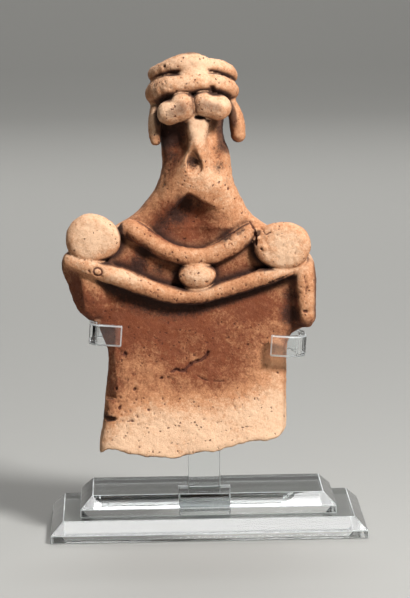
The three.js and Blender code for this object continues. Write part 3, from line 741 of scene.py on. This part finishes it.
# Blotches of fired tone, which carry painted light and shade, and ragged soot and painted shadow: a mark
# on the skin and the spots that break it up
for name, mark, spots, share in (
    ("blotchy", "fired_tone_and_painted_light", "firing", 0.7),
    ("blotchy", "blotchy", "grain", 1.1),
    ("blotchy", "blotchy", "sand", 0.9),
    ("darkened_by_soot_and_shadow", "soot_and_painted_shadow", "shadow_and_soot", 1.5),
):
    links = {0: shows[spots], 1: share, 2: shows[mark]}
    shows[name] = add(clay_finish, "ShaderNodeMath", links, operation="MULTIPLY_ADD")["Value"]

# Patterns eased from one pair of values to another: which pores show, how matt the clay is, and how
# much each coat of colour covers
COATS = (  # what shows, from where to where, the most that the colour covers there, and the colour
    # The fired tone, with its painted light and shade
    ("blotchy", 1.3, 1.95, 1.0, "#c68a60"),
    ("blotchy", 1.8, 2.4, 1.0, "#e8be9a"),
    ("worn", 0.2, 0.7, 0.35, "#e3bb92"),
    # Painted shade in the wider hollows, then painted shade and dirt in the close corners
    ("painted_shade_in_hollows", 0.2, 0.7, 0.85, "#4f2b1c"),
    ("close_corner_dirt_and_shade", 0.35, 0.95, 0.85, "#2e160d"),
    ("pitted", 0.1, 0.5, 0.9, "#55281a"),
    # Soot and painted shadow
    ("darkened_by_soot_and_shadow", 1.0, 1.6, 0.95, "#34190e"),
    ("pores", 0.1, 0.5, 0.8, "#5c2c1a"),
)
eased = {}
for name, source, low, high, out_low, out_high in (
    ("chosen", cell["Color"], 0.45, 0.8, 0.0, 1.0),
    ("gathered", shows["porous"], 0.38, 0.62, 0.25, 1.0),
    ("hole", cell["Distance"], 0.08, 0.36, 1.0, 0.0),
    ("matt", shows["sheen"], 0.3, 0.7, 0.78, 0.95),
):
    links = {"Value": source, "From Min": low, "From Max": high, "To Min": out_low, "To Max": out_high}
    eased[name] = add(clay_finish, "ShaderNodeMapRange", links, interpolation_type="SMOOTHSTEP")["Result"]
links = {0: eased["gathered"], 1: eased["chosen"]}
some = add(clay_finish, "ShaderNodeMath", links, operation="MULTIPLY")["Value"]
pores = add(clay_finish, "ShaderNodeMath", {0: eased["hole"], 1: some}, operation="MULTIPLY")["Value"]
shows["pores"] = pores
colour = linear("#7c4024")
for name, low, high, most, code in COATS:
    links = {"Value": shows[name], "From Min": low, "From Max": high, "To Min": 0.0, "To Max": most}
    share = add(clay_finish, "ShaderNodeMapRange", links, interpolation_type="SMOOTHSTEP")["Result"]
    colour = add(clay_finish, "ShaderNodeMix", {0: share, 6: colour, 7: linear(code)}, data_type="RGBA")[2]
links = {"Height": shows["grit"], "Distance": GRIT_HIGH * MM, "Strength": 1.0}
gritty = add(clay_finish, "ShaderNodeBump", links)["Normal"]
links = {"Height": pores, "Distance": -PORE_DEEP * MM, "Strength": 0.9, "Normal": gritty}
pored = add(clay_finish, "ShaderNodeBump", links)["Normal"]
for socket, source in (("Base Color", colour), ("Roughness", eased["matt"]), ("Normal", pored)):
    clay_finish.node_tree.links.new(shader.inputs[socket], source)
shader.inputs["IOR"].default_value = 1.45
figurine.data.materials.append(clay_finish)


# The two steps: slabs of 8 mm clear cast acrylic, sawn to size, with a wide bevel milled round the top
# and every face flame-polished. The upper one has a slot for the stem's foot and lies on the lower one.
SHEET = 8.0
STEP_BEVEL = 5.0
TENON_WIDTH = 20.0
SLOT_ROOM = 0.2
STEM_THICK = 6.0
STEM_X, STEM_Y = -1.2, -4.0
CLEAR = 0.08  # mm of air between the steps, so that each keeps its own faces
GLUE = 0.3  # mm between the stem and what it is glued to
ARRIS = 0.25  # mm, the softened edge
ACRYLIC_IOR = 1.49


def cast_acrylic(name, code, roughness, clearness):
    """A finish of cast acrylic, from polished and clear to sawn and whitish"""
    finish = bpy.data.materials.new(name)
    finish.use_nodes = True
    shader = finish.node_tree.nodes["Principled BSDF"]
    shader.inputs["Base Color"].default_value = linear(code)
    shader.inputs["Roughness"].default_value = roughness
    shader.inputs["IOR"].default_value = ACRYLIC_IOR
    shader.inputs["Transmission Weight"].default_value = clearness
    return finish


# Polished faces are clear and mirror the room, and arrises rubbed with fine paper catch a soft white line
polished = cast_acrylic("polished_cast_acrylic", "#fafcfc", 0.015, 1.0)
frosted = cast_acrylic("frosted_sawn_acrylic", "#f4f8f8", 0.4, 0.7)


def made(name, points, faces, finishes, node):
    """A piece of the stand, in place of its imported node"""
    mesh = bpy.data.meshes.new(name)
    mesh.from_pydata([[c * MM for c in point] for point in points], [], faces)
    mesh.update()
    thing = bpy.data.objects.new(name, mesh)
    bpy.context.collection.objects.link(thing)
    for finish in finishes:
        mesh.materials.append(finish)
    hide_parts(node)
    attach(thing, "root")
    return thing


def soften(thing, width=ARRIS):
    """Rounds a piece's edges, and frosts the rounding"""
    arris = thing.modifiers.new("softened_arris", "BEVEL")
    arris.material = 1
    arris.width, arris.segments, arris.limit_method = width * MM, 2, "ANGLE"
    arris.angle_limit = math.radians(25)


def block_through(rings):
    """A block through rings of four corners, given as left, front, right, back and height"""
    points = []
    for left, front, right, back, z in rings:
        points += [(left, front, z), (right, front, z), (right, back, z), (left, back, z)]
    top = len(points) - 4
    faces = [(3, 2, 1, 0), (top, top + 1, top + 2, top + 3)]
    for k in range(0, top, 4):
        faces += [(k + i, k + (i + 1) % 4, k + (i + 1) % 4 + 4, k + i + 4) for i in range(4)]
    return points, faces


def step(name, node, bottom):
    """A slab as wide and deep as its node, with the bevel round its top"""
    (left, front, _), (right, back, _) = [[c / MM for c in corner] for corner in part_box(node)]
    bevelled = (left + STEP_BEVEL, front + STEP_BEVEL, right - STEP_BEVEL, back - STEP_BEVEL)
    points, faces = block_through((
        (left, front, right, back, bottom),
        (left, front, right, back, bottom + SHEET - STEP_BEVEL),
        (*bevelled, bottom + SHEET - CLEAR),
    ))
    return made(name, points, faces, [polished, frosted], node)


soften(step("lower_acrylic_step", "acrylic_lower_step", 0))
upper = step("upper_acrylic_step", "acrylic_upper_step", SHEET)
half_wide, half_deep = TENON_WIDTH / 2 + SLOT_ROOM, STEM_THICK / 2 + SLOT_ROOM
slot_sides = (STEM_X - half_wide, STEM_Y - half_deep, STEM_X + half_wide, STEM_Y + half_deep)
cutter_points, cutter_faces = block_through(((*slot_sides, SHEET - 2), (*slot_sides, 2 * SHEET + 2)))
cutter_mesh = bpy.data.meshes.new("slot")
cutter_mesh.from_pydata([[c * MM for c in point] for point in cutter_points], [], cutter_faces)
cutter = bpy.data.objects.new("slot", cutter_mesh)
bpy.context.collection.objects.link(cutter)
slot = upper.modifiers.new("slot", "BOOLEAN")
slot.object, slot.operation, slot.solver = cutter, "DIFFERENCE", "EXACT"
bpy.context.view_layer.update()
cut_mesh = bpy.data.meshes.new_from_object(upper.evaluated_get(bpy.context.evaluated_depsgraph_get()))
upper.modifiers.clear()
upper.data = cut_mesh
bpy.data.objects.remove(cutter)
soften(upper)


# The stem: an upright strip of the same acrylic, its long edges polished. Its wider foot sits glued in
# the slot, and the foot's upper part was left as the saw cut it, so it looks frosted there.
STEM_WIDTH, STEM_TOP = 12.8, 88.0
FOOT_TOP = 2 * SHEET
FOOT_BOTTOM = SHEET + GLUE
SAWN_DEEP = 5.0  # how much of the foot is left sawn
SAWN = 2  # the place of the sawn finish among the stem's finishes

stem_front, stem_back = STEM_Y - STEM_THICK / 2, STEM_Y + STEM_THICK / 2
half_foot, half_strip = TENON_WIDTH / 2, STEM_WIDTH / 2
outline = [
    (-half_foot, FOOT_BOTTOM), (half_foot, FOOT_BOTTOM), (half_foot, FOOT_TOP - SAWN_DEEP),
    (half_foot, FOOT_TOP), (half_strip, FOOT_TOP), (half_strip, STEM_TOP), (-half_strip, STEM_TOP),
    (-half_strip, FOOT_TOP), (-half_foot, FOOT_TOP), (-half_foot, FOOT_TOP - SAWN_DEEP),
]
count = len(outline)
points = [(STEM_X + x, y, z) for y in (stem_front, stem_back) for x, z in outline]
fronts = [(0, 1, 2, 9), (9, 2, 3, 4, 7, 8), (7, 4, 5, 6)]
faces = fronts + [tuple(i + count for i in reversed(face)) for face in fronts]
faces += [((i + 1) % count, i, i + count, (i + 1) % count + count) for i in range(count)]

# Saw marks scatter the light, so the sawn band reads whitish and only half clear
sawn = cast_acrylic("sawn_acrylic", "#dde4e4", 0.5, 0.5)
stem = made("acrylic_stem_with_foot", points, faces, [polished, frosted, sawn], "acrylic_stem")
for face in stem.data.polygons:
    heights = [stem.data.vertices[v].co.z / MM for v in face.vertices]
    if min(heights) > FOOT_TOP - SAWN_DEEP - 0.01 and max(heights) < FOOT_TOP + 0.01:
        face.material_index = SAWN
soften(stem)


# The cradle: a strip of 3 mm clear acrylic, warmed and bent twice at each side, so that it passes
# behind the body and laps round its front in two short fingers. It is glued across the stem.
CRADLE_LEFT, CRADLE_RIGHT = -46.0, 39.4
LEFT_TIP, RIGHT_TIP = -33.2, 25.1
FINGER_FRONT = -32.2
CRADLE_BEHIND = stem_front - GLUE
CRADLE_THICK, CRADLE_TALL, CRADLE_MIDDLE = 3.0, 8.3, 78.8
CRADLE_TILT = math.radians(4.6)  # it runs down to the right
LEFT_BEND, RIGHT_BEND = 4.2, 8.5  # outside radii
BEND_STEPS = 8
CRADLE_ARRIS = 0.55


def bend(x, y, start, outside):
    """The outside of one quarter bend, each place with the way out from the bend's middle"""
    turns = [math.radians(start - 90 * k / BEND_STEPS) for k in range(BEND_STEPS + 1)]
    ways = [(math.cos(turn), math.sin(turn)) for turn in turns]
    return [((x + outside * out_x, y + outside * out_y), (out_x, out_y)) for out_x, out_y in ways]


left, right = CRADLE_LEFT + LEFT_BEND, CRADLE_RIGHT - RIGHT_BEND
path = [((LEFT_TIP, FINGER_FRONT), (0, -1))]
path += bend(left, FINGER_FRONT + LEFT_BEND, -90, LEFT_BEND)
path += bend(left, CRADLE_BEHIND - LEFT_BEND, 180, LEFT_BEND)
path += bend(right, CRADLE_BEHIND - RIGHT_BEND, 90, RIGHT_BEND)
path += bend(right, FINGER_FRONT + RIGHT_BEND, 0, RIGHT_BEND)
path += [((RIGHT_TIP, FINGER_FRONT), (0, -1))]
points = []
for (x, y), (out_x, out_y) in path:
    inner = (x - out_x * CRADLE_THICK, y - out_y * CRADLE_THICK)
    for u, v in ((x, y), inner):
        for z in (-CRADLE_TALL / 2, CRADLE_TALL / 2):
            points.append((
                u * math.cos(CRADLE_TILT) + z * math.sin(CRADLE_TILT),
                v,
                CRADLE_MIDDLE - u * math.sin(CRADLE_TILT) + z * math.cos(CRADLE_TILT),
            ))
last = 4 * (len(path) - 1)
faces = [(0, 2, 3, 1)]
for first in range(0, last, 4):
    for i, k in ((0, 1), (1, 3), (3, 2), (2, 0)):
        faces.append((first + i, first + k, first + 4 + k, first + 4 + i))
faces.append((last, last + 1, last + 3, last + 2))
cradle = made("bent_acrylic_cradle", points, faces, [polished, frosted], "acrylic_cradle")
soften(cradle, CRADLE_ARRIS)


# The studio: a sheet of matt pale paper that curves up behind the object, and four soft lamps. They
# are a key from the upper right, a small one overhead for the bevels, a panel behind and one on the paper.
SWEEP_FRONT, SWEEP_BACK, SWEEP_TOP, SWEEP_HALF = -4.0, 2.6, 3.0, 3.5  # all in metres
SWEEP_BEND = 0.8
SWEEP_STEPS = 12
FLOOR = -0.0002  # just under the stand, so that the two faces don't touch

profile = [(SWEEP_FRONT, FLOOR), (SWEEP_BACK - SWEEP_BEND, FLOOR)]
for k in range(1, SWEEP_STEPS + 1):
    turn = math.radians(90 / SWEEP_STEPS * k)
    along = SWEEP_BACK - SWEEP_BEND + SWEEP_BEND * math.sin(turn)
    profile.append((along, SWEEP_BEND * (1 - math.cos(turn)) + FLOOR))
profile.append((SWEEP_BACK, SWEEP_TOP))
sweep = bpy.data.objects.new("paper_sweep", bpy.data.meshes.new("paper_sweep"))
bpy.context.collection.objects.link(sweep)
sweep.data.from_pydata(
    [(x, y, z) for y, z in profile for x in (-SWEEP_HALF, SWEEP_HALF)], [],
    [(2 * k, 2 * k + 1, 2 * k + 3, 2 * k + 2) for k in range(len(profile) - 1)],
)
sweep.data.shade_smooth()

# Uncoated paper: a flat light grey with no shine, so that only the shadows show on it
paper = bpy.data.materials.new("matt_pale_paper")
paper.use_nodes = True
paper.node_tree.nodes["Principled BSDF"].inputs["Base Color"].default_value = linear("#a09f9b")
paper.node_tree.nodes["Principled BSDF"].inputs["Roughness"].default_value = 0.9
sweep.data.materials.append(paper)

# A faint even light from the room
world = bpy.data.worlds.new("studio")
bpy.context.scene.world = world
world.use_nodes = True
world.node_tree.nodes["Background"].inputs["Color"].default_value = linear("#9a9ea2")
world.node_tree.nodes["Background"].inputs["Strength"].default_value = 0.07


def softbox(name, at, aim, width, height, watts):
    """A soft lamp at a place in metres, turned to what it lights"""
    lamp = bpy.data.lights.new(name, "AREA")
    lamp.shape, lamp.size, lamp.size_y, lamp.energy = "RECTANGLE", width, height, watts
    thing = bpy.data.objects.new(name, lamp)
    bpy.context.collection.objects.link(thing)
    thing.location = at
    thing.rotation_euler = (Vector(aim) - Vector(at)).to_track_quat("-Z", "Y").to_euler()


softbox("key", (0.56, -0.76, 0.88), (-0.01, -0.02, 0.1), 0.24, 0.24, watts=23.5)
softbox("overhead", (0.0, -0.16, 0.9), (0, -0.1, 0.0), 0.3, 0.14, watts=1.7)
softbox("back_panel", (0.0, 1.4, 0.95), (0, 0, 0.05), 1.6, 0.6, watts=9)
softbox("backdrop", (0.0, 1.2, 2.2), (0, 2.4, 0.2), 1.0, 0.4, watts=24)

# The camera, at the photograph's viewing angle
PICTURE = (410, 598)  # pixels
FOCAL_PIXELS = 3751.9
SENSOR = 36
CAMERA_AT = (-31.0, -1480.9, 301.0)
PITCH, YAW, ROLL = 8.06, 1.21, 0.84  # degrees down, to the right and over

pitch, yaw, roll = (math.radians(angle) for angle in (PITCH, YAW, ROLL))
ahead = Vector((math.sin(yaw) * math.cos(pitch), math.cos(yaw) * math.cos(pitch), -math.sin(pitch)))
level = Vector((math.cos(yaw), -math.sin(yaw), 0))
upright = level.cross(ahead)
rightward = level * math.cos(roll) - upright * math.sin(roll)
upward = level * math.sin(roll) + upright * math.cos(roll)
turned = Matrix((rightward, upward, -ahead)).transposed().to_4x4()
camera = bpy.data.objects.new("camera", bpy.data.cameras.new("camera"))
bpy.context.collection.objects.link(camera)
camera.matrix_world = Matrix.Translation(Vector(CAMERA_AT) * MM) @ turned
camera.data.sensor_width = SENSOR
camera.data.lens = FOCAL_PIXELS * SENSOR / max(PICTURE)
bpy.context.scene.camera = camera
bpy.context.scene.view_settings.view_transform = "Standard"
bpy.context.scene.view_settings.look = "None"
